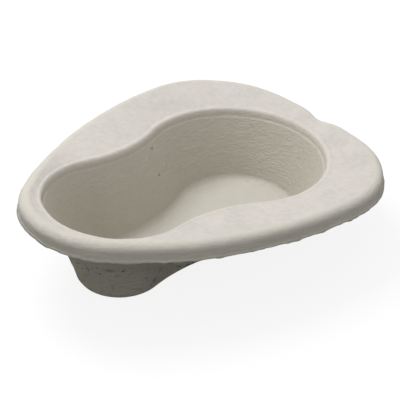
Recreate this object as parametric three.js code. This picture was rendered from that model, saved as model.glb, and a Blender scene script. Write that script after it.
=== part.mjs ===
// Disposable bedpan in moulded paper pulp. Millimetres, +Z up, base flat on Z = 0.
// The narrow front end points to -X and the wide rear end to +X. Y = 0 is the mirror plane.
// The pan is one moulding; it is divided here along its own fold lines, face to face.
import * as THREE from "three";
import { mergeVertices } from "three/addons/utils/BufferGeometryUtils.js";

// Overall sizes
const LENGTH = 375;
const WIDTH = 300;
const WALL = 2.8;

// Plan of the outer rim, as tangent arcs
const RIM_FRONT_RADIUS = 84;
const RIM_SIDE_RADIUS = 380;
const RIM_CORNER_RADIUS = 108;
const RIM_REAR_RADIUS = 595;

// Height of the rim above the table, and how fast it falls halfway along
const RIM_FRONT_HEIGHT = 107;
const RIM_MIDDLE_HEIGHT = 91;
const RIM_REAR_HEIGHT = 74;
const RIM_MIDDLE_SLOPE = 0.048;

// Keyhole opening: two round ends joined by a hollow neck
const OPENING_REAR_X = 60;
const OPENING_REAR_RADIUS = 95;
const OPENING_FRONT_X = -92;
const OPENING_FRONT_RADIUS = 73;
const OPENING_NECK_RADIUS = 143;

// Height of the opening edge above the table
const EDGE_FRONT_HEIGHT = 100;
const EDGE_MIDDLE_HEIGHT = 82.5;
const EDGE_REAR_HEIGHT = 71.5;

// Bowl
const FLOOR_INSET = 36;
const FLOOR_FILLET = 6;
const WALL_HOLLOW = 1.6;
const EDGE_RADIUS = 3.2;
const STEP_DEPTH = 7;
const STEP_RISE = 2;
const STEP_WIDTH = 1.2;

// Turned-down rim
const FOLD_RADIUS = 8;
const SKIRT_HEIGHT = 16;
const SKIRT_FLARE = 0.5;

// Dip in the middle of the rear rim
const DIP_HALF_WIDTH = 16;
const DIP_HEIGHT = 3.4;
const DIP_PLAN = 3.2;

// Sections run out like spokes from one point inside the bowl
const SPOKE_X = -15;
const SPOKES = 96;
const REAR_CROWDING = 0.3;

// Points along one section
const FILLET_STEPS = 4;
const WALL_STEPS = 5;
const EDGE_STEPS = 4;
const FLANGE_STEPS = 4;
const FOLD_STEPS = 5;

// Rows of the grid where one zone ends and the next begins
const ROW_FLOOR_END = 1;
const ROW_WALL_END = ROW_FLOOR_END + FILLET_STEPS + WALL_STEPS;
const ROW_EDGE_END = ROW_WALL_END + 2 + EDGE_STEPS;
const ROW_FLANGE_END = ROW_EDGE_END + FLANGE_STEPS;
const ROW_SKIRT_END = ROW_FLANGE_END + FOLD_STEPS + 1;

// Where the ring-shaped zones are divided, as spoke angles in degrees
const WAIST_ANGLE = 97;
const REAR_CORNER_ANGLE = 33;
const FRONT_CORNER_ANGLE = 146;

const PULP_COLOUR = 0xd6d1c8;
const PULP_ROUGHNESS = 0.94;

// Where a spoke leaves a circle on the plan, with the outward direction there.
function leaveCircle(angle, centreX, centreY, radius) {
  const dx = centreX - SPOKE_X;
  const along = Math.cos(angle) * dx + Math.sin(angle) * centreY;
  const square = along * along - dx * dx - centreY * centreY + radius * radius;
  const reach = along + Math.sqrt(Math.max(square, 0));
  const x = SPOKE_X + reach * Math.cos(angle);
  const y = reach * Math.sin(angle);
  return { x, y, nx: (x - centreX) / radius, ny: (y - centreY) / radius };
}

// Spoke angle of the point where a small circle touches a larger one from inside.
function touchAngle(bigX, bigY, bigRadius, smallX, smallY) {
  const dx = smallX - bigX;
  const dy = smallY - bigY;
  const scale = bigRadius / Math.hypot(dx, dy);
  return Math.atan2(bigY + dy * scale, bigX + dx * scale - SPOKE_X);
}

// Outer rim: front arc, side arc, rear corner arc and rear arc, each tangent to the next.
function makeRimPlan() {
  const frontX = -LENGTH / 2 + RIM_FRONT_RADIUS;
  const sideY = WIDTH / 2 - RIM_SIDE_RADIUS;
  const sideX = frontX + Math.sqrt((RIM_SIDE_RADIUS - RIM_FRONT_RADIUS) ** 2 - sideY ** 2);
  const rearX = LENGTH / 2 - RIM_REAR_RADIUS;
  const fromSide = RIM_SIDE_RADIUS - RIM_CORNER_RADIUS;
  const fromRear = RIM_REAR_RADIUS - RIM_CORNER_RADIUS;
  const gap = Math.hypot(rearX - sideX, sideY);
  const ux = (rearX - sideX) / gap;
  const uy = -sideY / gap;
  const foot = (fromSide ** 2 - fromRear ** 2 + gap ** 2) / (2 * gap);
  const lift = Math.sqrt(fromSide ** 2 - foot ** 2);
  const cornerX = sideX + foot * ux + lift * uy;
  const cornerY = sideY + foot * uy - lift * ux;
  const rearEnd = touchAngle(rearX, 0, RIM_REAR_RADIUS, cornerX, cornerY);
  const cornerEnd = touchAngle(sideX, sideY, RIM_SIDE_RADIUS, cornerX, cornerY);
  const sideEnd = touchAngle(sideX, sideY, RIM_SIDE_RADIUS, frontX, 0);
  return (angle) => {
    if (angle < rearEnd) return leaveCircle(angle, rearX, 0, RIM_REAR_RADIUS);
    if (angle < cornerEnd) return leaveCircle(angle, cornerX, cornerY, RIM_CORNER_RADIUS);
    if (angle < sideEnd) return leaveCircle(angle, sideX, sideY, RIM_SIDE_RADIUS);
    return leaveCircle(angle, frontX, 0, RIM_FRONT_RADIUS);
  };
}

// Half of the keyhole from the rear end (0) to the front end (1), measured along its edge.
function makeKeyholePlan() {
  const toRear = OPENING_REAR_RADIUS + OPENING_NECK_RADIUS;
  const toFront = OPENING_FRONT_RADIUS + OPENING_NECK_RADIUS;
  const gap = OPENING_REAR_X - OPENING_FRONT_X;
  const foot = (toFront ** 2 - toRear ** 2 + gap ** 2) / (2 * gap);
  const neckX = OPENING_FRONT_X + foot;
  const neckY = Math.sqrt(toFront ** 2 - foot ** 2);
  const rearSweep = Math.atan2(neckY, neckX - OPENING_REAR_X);
  const frontStart = Math.atan2(neckY, foot);
  const rearLength = OPENING_REAR_RADIUS * rearSweep;
  const neckLength = OPENING_NECK_RADIUS * (rearSweep - frontStart);
  const frontLength = OPENING_FRONT_RADIUS * (Math.PI - frontStart);
  const whole = rearLength + neckLength + frontLength;
  const onArc = (centreX, centreY, radius, turn) => {
    const nx = Math.cos(turn);
    const ny = Math.sin(turn);
    return { x: centreX + radius * nx, y: centreY + radius * ny, nx, ny };
  };
  return (share) => {
    const run = share * whole;
    if (run < rearLength) {
      return onArc(OPENING_REAR_X, 0, OPENING_REAR_RADIUS, run / OPENING_REAR_RADIUS);
    }
    if (run < rearLength + neckLength) {
      const turn = rearSweep - (run - rearLength) / OPENING_NECK_RADIUS;
      return onArc(neckX, neckY, -OPENING_NECK_RADIUS, turn);
    }
    const turn = frontStart + (run - rearLength - neckLength) / OPENING_FRONT_RADIUS;
    return onArc(OPENING_FRONT_X, 0, OPENING_FRONT_RADIUS, turn);
  };
}

// Height of the rim: front, middle and rear heights with a gentler slope halfway along.
function rimHeight(x) {
  const share = x / (LENGTH / 2);
  const fall = RIM_MIDDLE_SLOPE * (LENGTH / 2);
  const bow = (RIM_FRONT_HEIGHT + RIM_REAR_HEIGHT) / 2 - RIM_MIDDLE_HEIGHT;
  const twist = (RIM_FRONT_HEIGHT - RIM_REAR_HEIGHT) / 2 - fall;
  return RIM_MIDDLE_HEIGHT - fall * share + bow * share ** 2 - twist * share ** 3;
}

// Height of the opening edge: a parabola through its front, middle and rear heights.
function edgeHeight(x) {
  const frontX = OPENING_FRONT_X - OPENING_FRONT_RADIUS;
  const rearX = OPENING_REAR_X + OPENING_REAR_RADIUS;
  const frontRise = (EDGE_FRONT_HEIGHT - EDGE_MIDDLE_HEIGHT) / frontX;
  const rearRise = (EDGE_REAR_HEIGHT - EDGE_MIDDLE_HEIGHT) / rearX;
  const bend = (rearRise - frontRise) / (rearX - frontX);
  return EDGE_MIDDLE_HEIGHT + x * (frontRise + bend * (x - frontX));
}

// Share of the way round for each spoke, closer together at the rear where the small dip is.
function spokeShare(index) {
  const turn = (2 * Math.PI * index) / SPOKES;
  return (turn - REAR_CROWDING * Math.sin(turn)) / Math.PI;
}

// One section of the upper face. It collects points with the direction of travel at each.
// Distances run outwards from an anchor on the plan, heights are above the table.
class Section {
  constructor() {
    this.entries = [];
  }

  face(anchor) {
    this.anchor = anchor;
  }

  add(distance, height, slope) {
    const { x, y, nx, ny } = this.anchor;
    const flat = Math.cos(slope);
    this.entries.push({
      point: new THREE.Vector3(x + distance * nx, y + distance * ny, height),
      along: new THREE.Vector3(flat * nx, flat * ny, Math.sin(slope)),
    });
  }

  arc(centreDistance, centreHeight, radius, fromSlope, toSlope, steps) {
    const side = toSlope > fromSlope ? 1 : -1;
    for (let k = 0; k <= steps; k += 1) {
      const slope = fromSlope + ((toSlope - fromSlope) * k) / steps;
      const distance = centreDistance + side * radius * Math.sin(slope);
      this.add(distance, centreHeight - side * radius * Math.cos(slope), slope);
    }
  }

  // Nearly straight run to a point, hollowed towards the anchor's inner side.
  hollowLine(toDistance, toHeight, hollow, steps) {
    const from = this.entries[this.entries.length - 1].point;
    const { x, y, nx, ny } = this.anchor;
    const fromDistance = (from.x - x) * nx + (from.y - y) * ny;
    const run = toDistance - fromDistance;
    const rise = toHeight - from.z;
    for (let k = 1; k <= steps; k += 1) {
      const share = k / steps;
      const distance = fromDistance + run * share - 4 * hollow * share * (1 - share);
      const slope = Math.atan2(rise, run - 4 * hollow * (1 - 2 * share));
      this.add(distance, from.z + rise * share, slope);
    }
  }
}

// Floor border, wall, step and rounded opening edge, square to the keyhole.
function addBowl(section, edge, edgeZ, flangeSlope) {
  const filletZ = WALL + FLOOR_FILLET;
  const reach = Math.hypot(FLOOR_INSET, edgeZ - filletZ);
  const wallSlope = Math.atan2(edgeZ - filletZ, FLOOR_INSET) + Math.asin(FLOOR_FILLET / reach);
  const lean = 1 / Math.tan(wallSlope);
  section.face(edge);
  section.arc(-FLOOR_INSET, filletZ, FLOOR_FILLET, 0, wallSlope, FILLET_STEPS);
  const stepFoot = STEP_DEPTH + STEP_RISE;
  const stepFootDistance = -stepFoot * lean - STEP_WIDTH / 2;
  section.hollowLine(stepFootDistance, edgeZ - stepFoot, WALL_HOLLOW, WALL_STEPS);
  section.add(-STEP_DEPTH * lean + STEP_WIDTH / 2, edgeZ - STEP_DEPTH, wallSlope);

  const toCentre = EDGE_RADIUS / Math.cos((wallSlope - flangeSlope) / 2);
  const middleSlope = (wallSlope + flangeSlope) / 2;
  const centreDistance = toCentre * Math.sin(middleSlope);
  const centreZ = edgeZ - toCentre * Math.cos(middleSlope);
  section.arc(centreDistance, centreZ, EDGE_RADIUS, wallSlope, flangeSlope, EDGE_STEPS);
}

// Flange between two finished points, then the fold and the skirt, square to the rim.
function addRim(section, rim, rimZ, flangeSlope) {
  const foldZ = rimZ - FOLD_RADIUS;
  const from = section.entries[section.entries.length - 1].point;
  const flangeEnd = -FOLD_RADIUS - FOLD_RADIUS * Math.sin(flangeSlope);
  const to = new THREE.Vector3(
    rim.x + flangeEnd * rim.nx,
    rim.y + flangeEnd * rim.ny,
    foldZ + FOLD_RADIUS * Math.cos(flangeSlope),
  );
  const along = new THREE.Vector3().subVectors(to, from).normalize();
  for (let k = 1; k < FLANGE_STEPS; k += 1) {
    const point = new THREE.Vector3().lerpVectors(from, to, k / FLANGE_STEPS);
    section.entries.push({ point, along });
  }
  const skirtSlope = -Math.PI / 2 + Math.atan2(SKIRT_FLARE, SKIRT_HEIGHT - FOLD_RADIUS);
  section.face(rim);
  section.arc(-FOLD_RADIUS, foldZ, FOLD_RADIUS, flangeSlope, skirtSlope, FOLD_STEPS);
  section.add(SKIRT_FLARE, rimZ - SKIRT_HEIGHT, skirtSlope);
}

// The small dip in the middle of the rear rim lowers it and draws it in.
function dipRim(rim) {
  const depth = rim.nx > 0 ? Math.exp(-((rim.y / DIP_HALF_WIDTH) ** 2)) : 0;
  const x = rim.x - DIP_PLAN * depth;
  const height = rimHeight(x) - DIP_HEIGHT * depth;
  return { x, y: rim.y, nx: rim.nx, ny: rim.ny, height };
}

function makeColumn(edge, rim) {
  const edgeZ = edgeHeight(edge.x);
  const foldX = rim.x - FOLD_RADIUS * rim.nx;
  const foldY = rim.y - FOLD_RADIUS * rim.ny;
  const width = Math.hypot(foldX - edge.x, foldY - edge.y);
  const rise = rim.height - FOLD_RADIUS - edgeZ;
  const tangentTurn = Math.asin(FOLD_RADIUS / Math.hypot(width, rise));
  const flangeSlope = Math.atan2(rise, width) + tangentTurn;
  const section = new Section();
  const floorX = edge.x - FLOOR_INSET * edge.nx;
  const floorY = edge.y - FLOOR_INSET * edge.ny;
  section.entries.push({
    point: new THREE.Vector3((SPOKE_X + floorX) / 2, floorY / 2, WALL),
    along: new THREE.Vector3(edge.nx, edge.ny, 0),
  });
  addBowl(section, edge, edgeZ, flangeSlope);
  addRim(section, rim, rim.height, flangeSlope);
  return section.entries;
}

// Upper face of the moulding as a grid: one column per spoke, one row per section point.
function makeUpperGrid() {
  const rimPlan = makeRimPlan();
  const edgePlan = makeKeyholePlan();
  const grid = [];
  for (let i = 0; i < SPOKES; i += 1) {
    const share = spokeShare(i);
    const mirrored = share > 1;
    const edge = edgePlan(mirrored ? 2 - share : share);
    const rim = dipRim(rimPlan(Math.atan2(edge.y, edge.x - SPOKE_X)));
    const column = makeColumn(edge, rim);
    if (mirrored) {
      column.forEach((entry) => {
        entry.point.y *= -1;
        entry.along = new THREE.Vector3(entry.along.x, -entry.along.y, entry.along.z);
      });
    }
    grid.push(column);
  }
  return grid;
}

// Under face: every upper point moved through the wall thickness, square to the surface.
function makeUnderGrid(upper) {
  return upper.map((column, i) => {
    const before = upper[(i + SPOKES - 1) % SPOKES];
    const after = upper[(i + 1) % SPOKES];
    return column.map((entry, j) => {
      const around = new THREE.Vector3().subVectors(after[j].point, before[j].point);
      const normal = new THREE.Vector3().crossVectors(entry.along, around).normalize();
      return entry.point.clone().addScaledVector(normal, -WALL);
    });
  });
}

// Closed solid between two rows and two columns of the upper and under faces.
class ZoneBuilder {
  constructor(upper, under) {
    this.upper = upper;
    this.under = under;
    this.positions = [];
  }

  triangle(a, b, c) {
    this.positions.push(a.x, a.y, a.z, b.x, b.y, b.z, c.x, c.y, c.z);
  }

  quad(a, b, c, d) {
    this.triangle(a, b, c);
    this.triangle(a, c, d);
  }

  top(i, j) {
    return this.upper[i % SPOKES][j].point;
  }

  low(i, j) {
    return this.under[i % SPOKES][j];
  }

  faces(i, j) {
    this.quad(this.top(i, j), this.top(i, j + 1), this.top(i + 1, j + 1), this.top(i + 1, j));
    this.quad(this.low(i, j), this.low(i + 1, j), this.low(i + 1, j + 1), this.low(i, j + 1));
  }

  // Strip closing the inner row. The neighbour's outer strip splits its quads the same way.
  innerEdge(i, j) {
    this.quad(this.top(i, j), this.top(i + 1, j), this.low(i + 1, j), this.low(i, j));
  }

  outerEdge(i, j) {
    this.triangle(this.low(i, j), this.low(i + 1, j), this.top(i, j));
    this.triangle(this.low(i + 1, j), this.top(i + 1, j), this.top(i, j));
  }

  firstEnd(i, j) {
    this.quad(this.top(i, j), this.low(i, j), this.low(i, j + 1), this.top(i, j + 1));
  }

  lastEnd(i, j) {
    this.quad(this.low(i, j + 1), this.low(i, j), this.top(i, j), this.top(i, j + 1));
  }
}

function makePulp() {
  const material = new THREE.MeshStandardMaterial();
  material.color.setHex(PULP_COLOUR);
  material.roughness = PULP_ROUGHNESS;
  material.metalness = 0;
  return material;
}

function finishZone(builder, name) {
  const plain = new THREE.BufferGeometry();
  plain.setAttribute("position", new THREE.Float32BufferAttribute(builder.positions, 3));
  const geometry = mergeVertices(plain, 1e-4);
  geometry.computeVertexNormals();
  const mesh = new THREE.Mesh(geometry, makePulp());
  mesh.name = name;
  return mesh;
}

// Flat floor, closed at the middle by a fan.
function makeFloor(upper, under) {
  const builder = new ZoneBuilder(upper, under);
  const topMiddle = new THREE.Vector3(SPOKE_X, 0, WALL);
  const lowMiddle = new THREE.Vector3(SPOKE_X, 0, 0);
  for (let i = 0; i < SPOKES; i += 1) {
    builder.triangle(topMiddle, builder.top(i, 0), builder.top(i + 1, 0));
    builder.triangle(lowMiddle, builder.low(i + 1, 0), builder.low(i, 0));
    for (let j = 0; j < ROW_FLOOR_END; j += 1) builder.faces(i, j);
    builder.outerEdge(i, ROW_FLOOR_END);
  }
  return finishZone(builder, "bowl_floor");
}

// Zone that runs all the way round.
function makeRing(upper, under, name, firstRow, lastRow) {
  const builder = new ZoneBuilder(upper, under);
  for (let i = 0; i < SPOKES; i += 1) {
    for (let j = firstRow; j < lastRow; j += 1) builder.faces(i, j);
    builder.innerEdge(i, firstRow);
    builder.outerEdge(i, lastRow);
  }
  return finishZone(builder, name);
}

// Zone that covers part of the way round, between two spokes.
function makeArcZone(upper, under, name, rows, spokes) {
  const builder = new ZoneBuilder(upper, under);
  const [firstRow, lastRow] = rows;
  const [firstSpoke, lastSpoke] = spokes;
  for (let i = firstSpoke; i < lastSpoke; i += 1) {
    for (let j = firstRow; j < lastRow; j += 1) builder.faces(i, j);
    builder.innerEdge(i, firstRow);
    builder.outerEdge(i, lastRow);
  }
  for (let j = firstRow; j < lastRow; j += 1) {
    builder.firstEnd(firstSpoke, j);
    builder.lastEnd(lastSpoke, j);
  }
  return finishZone(builder, name);
}

// Spoke whose opening edge lies nearest to a direction seen from the middle of the bowl.
function nearestSpoke(upper, degrees) {
  const wanted = (degrees * Math.PI) / 180;
  const miss = (column) => {
    const { x, y } = column[ROW_EDGE_END].point;
    return Math.abs(Math.atan2(y, x - SPOKE_X) - wanted);
  };
  let best = 0;
  upper.forEach((column, i) => {
    if (miss(column) < miss(upper[best])) best = i;
  });
  return best;
}

function makeBedpan() {
  const upper = makeUpperGrid();
  const under = makeUnderGrid(upper);
  const waist = nearestSpoke(upper, WAIST_ANGLE);
  const corner = nearestSpoke(upper, REAR_CORNER_ANGLE);
  const cheek = nearestSpoke(upper, FRONT_CORNER_ANGLE);
  const wallRows = [ROW_FLOOR_END, ROW_WALL_END];
  const flangeRows = [ROW_EDGE_END, ROW_FLANGE_END];
  const skirtRows = [ROW_FLANGE_END, ROW_SKIRT_END];
  const frontHalf = [waist, SPOKES - waist];
  const rearHalf = [SPOKES - waist, SPOKES + waist];

  const bedpan = new THREE.Group();
  bedpan.name = "bedpan";
  bedpan.add(makeFloor(upper, under));
  bedpan.add(makeArcZone(upper, under, "bowl_wall_front", wallRows, frontHalf));
  bedpan.add(makeArcZone(upper, under, "bowl_wall_rear", wallRows, rearHalf));
  bedpan.add(makeRing(upper, under, "opening_shoulder", ROW_WALL_END, ROW_EDGE_END));
  bedpan.add(makeArcZone(upper, under, "flange_left", flangeRows, [corner, cheek]));
  bedpan.add(makeArcZone(upper, under, "flange_front", flangeRows, [cheek, SPOKES - cheek]));
  bedpan.add(makeArcZone(upper, under, "flange_right", flangeRows, [SPOKES - cheek, SPOKES - corner]));
  bedpan.add(makeArcZone(upper, under, "flange_rear", flangeRows, [SPOKES - corner, SPOKES + corner]));
  bedpan.add(makeArcZone(upper, under, "rim_skirt_front", skirtRows, frontHalf));
  bedpan.add(makeArcZone(upper, under, "rim_skirt_rear", skirtRows, rearHalf));
  return bedpan;
}

// Set the bounding box square over the origin, along its length.
function centreAlongX(group) {
  const box = new THREE.Box3().setFromObject(group);
  const shift = -(box.min.x + box.max.x) / 2;
  group.traverse((child) => {
    if (child.isMesh) child.geometry.translate(shift, 0, 0);
  });
  return group;
}

export default centreAlongX(makeBedpan());
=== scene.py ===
"""Disposable bedpan in moulded paper pulp, on a plain pale floor.

The pan is one moulding: a flat floor, a keyhole bowl, a broad seat flange and a rim folded
down into a short skirt. Lengths are in metres. The narrow front end points to -X, the wide
rear end to +X, and the flat floor stands on Z = 0.
"""

import math

import bpy
import numpy as np
from bpy.props import FloatProperty, FloatVectorProperty, IntProperty, PointerProperty
from mathutils import Matrix, Vector


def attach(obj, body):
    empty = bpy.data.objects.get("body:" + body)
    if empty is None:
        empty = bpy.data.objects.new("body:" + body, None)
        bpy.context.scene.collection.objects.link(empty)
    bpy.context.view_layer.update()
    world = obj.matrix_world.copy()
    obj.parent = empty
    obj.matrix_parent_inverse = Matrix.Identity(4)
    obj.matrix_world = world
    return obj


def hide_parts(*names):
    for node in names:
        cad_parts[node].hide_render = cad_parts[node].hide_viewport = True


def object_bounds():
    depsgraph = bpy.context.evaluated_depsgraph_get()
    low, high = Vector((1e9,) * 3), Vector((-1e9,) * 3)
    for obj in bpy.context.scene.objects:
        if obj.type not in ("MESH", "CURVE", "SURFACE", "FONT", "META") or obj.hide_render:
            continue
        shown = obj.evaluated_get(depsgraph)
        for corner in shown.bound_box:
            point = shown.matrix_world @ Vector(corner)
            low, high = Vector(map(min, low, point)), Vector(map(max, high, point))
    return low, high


bl_info = {
    "name": "Moulded Pulp Bedpan",
    "version": (1, 0, 0),
    "blender": (4, 5, 0),
    "location": "3D View > Sidebar > Bedpan",
    "description": "Builds a disposable moulded-pulp bedpan and a plain studio to show it in",
    "category": "Add Mesh",
}

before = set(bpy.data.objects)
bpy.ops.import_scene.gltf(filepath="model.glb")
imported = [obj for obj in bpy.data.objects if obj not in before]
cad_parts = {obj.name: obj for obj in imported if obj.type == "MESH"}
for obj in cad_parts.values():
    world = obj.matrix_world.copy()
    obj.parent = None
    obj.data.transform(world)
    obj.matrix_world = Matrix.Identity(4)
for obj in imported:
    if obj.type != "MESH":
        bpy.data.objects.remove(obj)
CAD_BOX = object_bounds()
CAD_LOW, CAD_HIGH = (tuple(corner) for corner in CAD_BOX)
CAD_NODES = sorted(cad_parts)

# The loaded frame already holds a plain material under the slot's own name
PULP_SURFACE = "matted_pulp_surface"

MM = 0.001


# ---------------------------------------------------------------------------
# Properties
# ---------------------------------------------------------------------------


def length_property(name, description, default):
    return FloatProperty(
        name=name, description=description, default=default, subtype="DISTANCE", unit="LENGTH", precision=4
    )


def plain_property(name, description, default, low=0.0, high=1.0):
    return FloatProperty(name=name, description=description, default=default, min=low, max=high)


def angle_property(name, description, degrees):
    return FloatProperty(
        name=name, description=description, default=math.radians(degrees), subtype="ANGLE"
    )


def colour_property(name, description, default):
    return FloatVectorProperty(
        name=name, description=description, default=default, subtype="COLOR", size=3, min=0, max=1
    )


class PanShape(bpy.types.PropertyGroup):
    """Sizes of the moulding."""

    length: length_property("Length", "Front to rear over the rim, without the flare", 0.375)
    width: length_property("Width", "Across the widest part of the rim", 0.300)
    wall: length_property("Wall", "Thickness of the pulp", 2.8 * MM)
    rim_front_radius: length_property("Rim Front Radius", "Front arc of the rim", 0.084)
    rim_side_radius: length_property("Rim Side Radius", "Long side arc of the rim", 0.380)
    rim_corner_radius: length_property("Rim Corner Radius", "Rear corner arc of the rim", 0.108)
    rim_rear_radius: length_property("Rim Rear Radius", "Shallow rear arc of the rim", 0.595)
    rim_front_height: length_property("Rim Front Height", "Top of the rim at the front", 0.107)
    rim_middle_height: length_property("Rim Middle Height", "Top of the rim halfway along", 0.091)
    rim_rear_height: length_property("Rim Rear Height", "Top of the rim at the rear", 0.074)
    rim_middle_slope: plain_property("Rim Middle Slope", "Fall of the rim halfway along", 0.048)
    opening_rear_x: length_property("Opening Rear Centre", "Centre of the wide round end", 0.060)
    opening_rear_radius: length_property("Opening Rear Radius", "Radius of the wide end", 0.095)
    opening_front_x: length_property("Opening Front Centre", "Centre of the narrow end", -0.092)
    opening_front_radius: length_property("Opening Front Radius", "Radius of the narrow end", 0.073)
    opening_neck_radius: length_property("Opening Neck Radius", "Hollow arc of the waist", 0.143)
    edge_front_height: length_property("Edge Front Height", "Opening edge at the front", 0.100)
    edge_middle_height: length_property("Edge Middle Height", "Opening edge halfway", 0.0825)
    edge_rear_height: length_property("Edge Rear Height", "Opening edge at the rear", 0.0715)
    edge_radius: length_property("Edge Radius", "Rounding of the opening edge", 3.2 * MM)
    edge_bead: length_property("Edge Bead", "Low raised line along the opening edge", 0.7 * MM)
    floor_inset: length_property("Floor Inset", "Draft of the wall, seen from above", 0.036)
    floor_fillet: length_property("Floor Fillet", "Rounding between floor and wall", 6 * MM)
    wall_hollow: length_property("Wall Hollow", "How far the wall bows inwards", 1.6 * MM)
    step_depth: length_property("Step Depth", "Step below the opening edge", 7 * MM)
    step_rise: length_property("Step Rise", "Height the step is spread over", 2 * MM)
    step_width: length_property("Step Width", "How far the step stands out", 1.2 * MM)
    fold_radius: length_property("Fold Radius", "Outer rounding of the rim", 8 * MM)
    skirt_height: length_property("Skirt Height", "Rim top to the trimmed edge", 16 * MM)
    skirt_flare: length_property("Skirt Flare", "How far the skirt leans out", 0.5 * MM)
    trim_lip: length_property("Trim Lip", "How far the trimmed edge turns out", 1.5 * MM)
    dip_half_width: length_property("Dip Half Width", "Small dip in the rear rim", 16 * MM)
    dip_height: length_property("Dip Height", "Depth of the dip", 3.4 * MM)
    dip_plan: length_property("Dip Plan", "How far the dip draws the rim in", 3.2 * MM)


class PulpRelief(bpy.types.PropertyGroup):
    """Unevenness that the mould, the drying and the trimming leave in the pulp."""

    seed: IntProperty(name="Seed", description="Pattern of the unevenness", default=7, min=0, max=999)
    swell_height: length_property("Swell Height", "Slow waviness of the wall", 1.0 * MM)
    swell_size: length_property("Swell Size", "Distance between swells", 42 * MM)
    ripple_height: length_property("Ripple Height", "Drying ripples inside the bowl", 0.75 * MM)
    ripple_size: length_property("Ripple Size", "Distance between ripples", 9 * MM)
    coarse_height: length_property("Coarse Height", "Lumps on the outer side of the bowl", 2.0 * MM)
    coarse_size: length_property("Coarse Size", "Distance between lumps", 6 * MM)
    pit_depth: length_property("Pit Depth", "Depth of the small pits", 1.2 * MM)
    pit_radius: length_property("Pit Radius", "Radius of the small pits", 1.6 * MM)
    trim_wave: length_property("Trim Wave", "Unevenness of the trimmed edge", 2.8 * MM)
    trim_size: length_property("Trim Size", "Distance between waves of the edge", 15 * MM)
    crumb_spacing: length_property("Crumb Spacing", "Distance between places for a crumb", 2.6 * MM)
    crumb_size: length_property("Crumb Size", "Radius of a middling torn crumb", 0.62 * MM)


class PulpFinish(bpy.types.PropertyGroup):
    """Colour and surface of the pulp."""

    colour: colour_property("Colour", "Dry pulp", (0.635, 0.610, 0.568))
    pale_colour: colour_property("Pale Colour", "Pressed pulp", (0.71, 0.682, 0.642))
    warm_colour: colour_property("Warm Colour", "Pinkish clouds in the pulp", (0.71, 0.658, 0.610))
    # Painted shade: the wall of the bowl is coloured darker and yellower, for the shade and bounced light
    # inside the bowl as well as rougher pulp
    shaded_wall_colour: colour_property("Wall Colour", "Rougher wall of the bowl", (0.560, 0.527, 0.455))
    floor_colour: colour_property("Floor Colour", "Floor of the bowl", (0.628, 0.605, 0.535))
    skirt_colour: colour_property("Skirt Colour", "Folded rim and skirt", (0.715, 0.690, 0.597))
    raw_colour: colour_property("Raw Colour", "Coarse outer side", (0.62, 0.600, 0.505))
    # Pale torn fibre, and also the colour of the painted highlights along the step, the edge bead and the
    # trimmed edge
    fibre_and_highlight_colour: colour_property("Edge Colour", "Torn fibre at edges and steps", (0.80, 0.77, 0.71))
    # Painted shade: the bottoms of pits and pocks are coloured near black
    pit_shade_colour: colour_property("Pock Colour", "Bottom of pits and pocks", (0.13, 0.12, 0.10))
    fleck_colour: colour_property("Fleck Colour", "Dark flecks of old print", (0.20, 0.19, 0.17))
    roughness: plain_property("Roughness", "Dullness of the surface", 0.93)
    fibre_bump: length_property("Fibre Relief", "Height of the matted fibres", 0.12 * MM)
    grain_bump: length_property("Grain Relief", "Height of the fine grain", 0.55 * MM)
    wrinkle_bump: length_property("Wrinkle Relief", "Height of the level wrinkles in the bowl", 0.9 * MM)
    pock_bump: length_property("Pock Relief", "Depth of pits and pocks", 0.9 * MM)


class StudioSetup(bpy.types.PropertyGroup):
    """Light, floor and camera."""

    dome: plain_property("Dome", "Strength of the all-round light", 0.55, 0, 5)
    key: plain_property("Key", "Power of the large lamp overhead, in watts", 25.0, 0, 500)
    floor_shade: plain_property("Floor Shade", "How much light the floor throws back", 0.08)
    lens: plain_property("Lens", "Focal length in millimetres", 100.52, 10, 500)
    azimuth: angle_property("Azimuth", "Turn of the camera round the pan", -40.78)
    elevation: angle_property("Elevation", "Angle above the table", 35.62)
    roll: angle_property("Roll", "Tilt of the camera", 0.27)
    distance: length_property("Distance", "Camera to the point it looks at", 1.2161)
    aim_x: length_property("Aim X", "Point on the table that it looks at", 0.0480)
    aim_y: length_property("Aim Y", "Point on the table that it looks at", 0.0422)


# ---------------------------------------------------------------------------
# Node expressions
# ---------------------------------------------------------------------------


class Flow:
    """A socket of a node tree that takes part in Python expressions."""

    def __init__(self, board, socket):
        self.board = board
        self.socket = socket

    @property
    def is_vector(self):
        return self.socket.type in {"VECTOR", "RGBA"}

    def _join(self, operation, first, second):
        vector = any(isinstance(side, Flow) and side.is_vector for side in (first, second))
        if not vector:
            return self.board.node("ShaderNodeMath", {"operation": operation}, {0: first, 1: second})
        if operation == "MULTIPLY" and not (self.board.wide(first) and self.board.wide(second)):
            wide, scale = (first, second) if self.board.wide(first) else (second, first)
            values = {0: wide, "Scale": scale}
            return self.board.node("ShaderNodeVectorMath", {"operation": "SCALE"}, values)
        return self.board.node("ShaderNodeVectorMath", {"operation": operation}, {0: first, 1: second})

    def __add__(self, other):
        return self._join("ADD", self, other)

    def __radd__(self, other):
        return self._join("ADD", other, self)

    def __sub__(self, other):
        return self._join("SUBTRACT", self, other)

    def __rsub__(self, other):
        return self._join("SUBTRACT", other, self)

    def __mul__(self, other):
        return self._join("MULTIPLY", self, other)

    def __rtruediv__(self, other):
        return self._join("DIVIDE", other, self)

    def __gt__(self, other):
        return self._join("GREATER_THAN", self, other)

    def smallest(self, other):
        return self._join("MINIMUM", self, other)

    def largest(self, other):
        return self._join("MAXIMUM", self, other)

    def between(self, low, high):
        """0 below low, 1 above high, and a smooth rise between them."""
        settings = {"interpolation_type": "SMOOTHSTEP"}
        values = {"Value": self, "From Min": low, "From Max": high}
        return self.board.node("ShaderNodeMapRange", settings, values)


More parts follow.
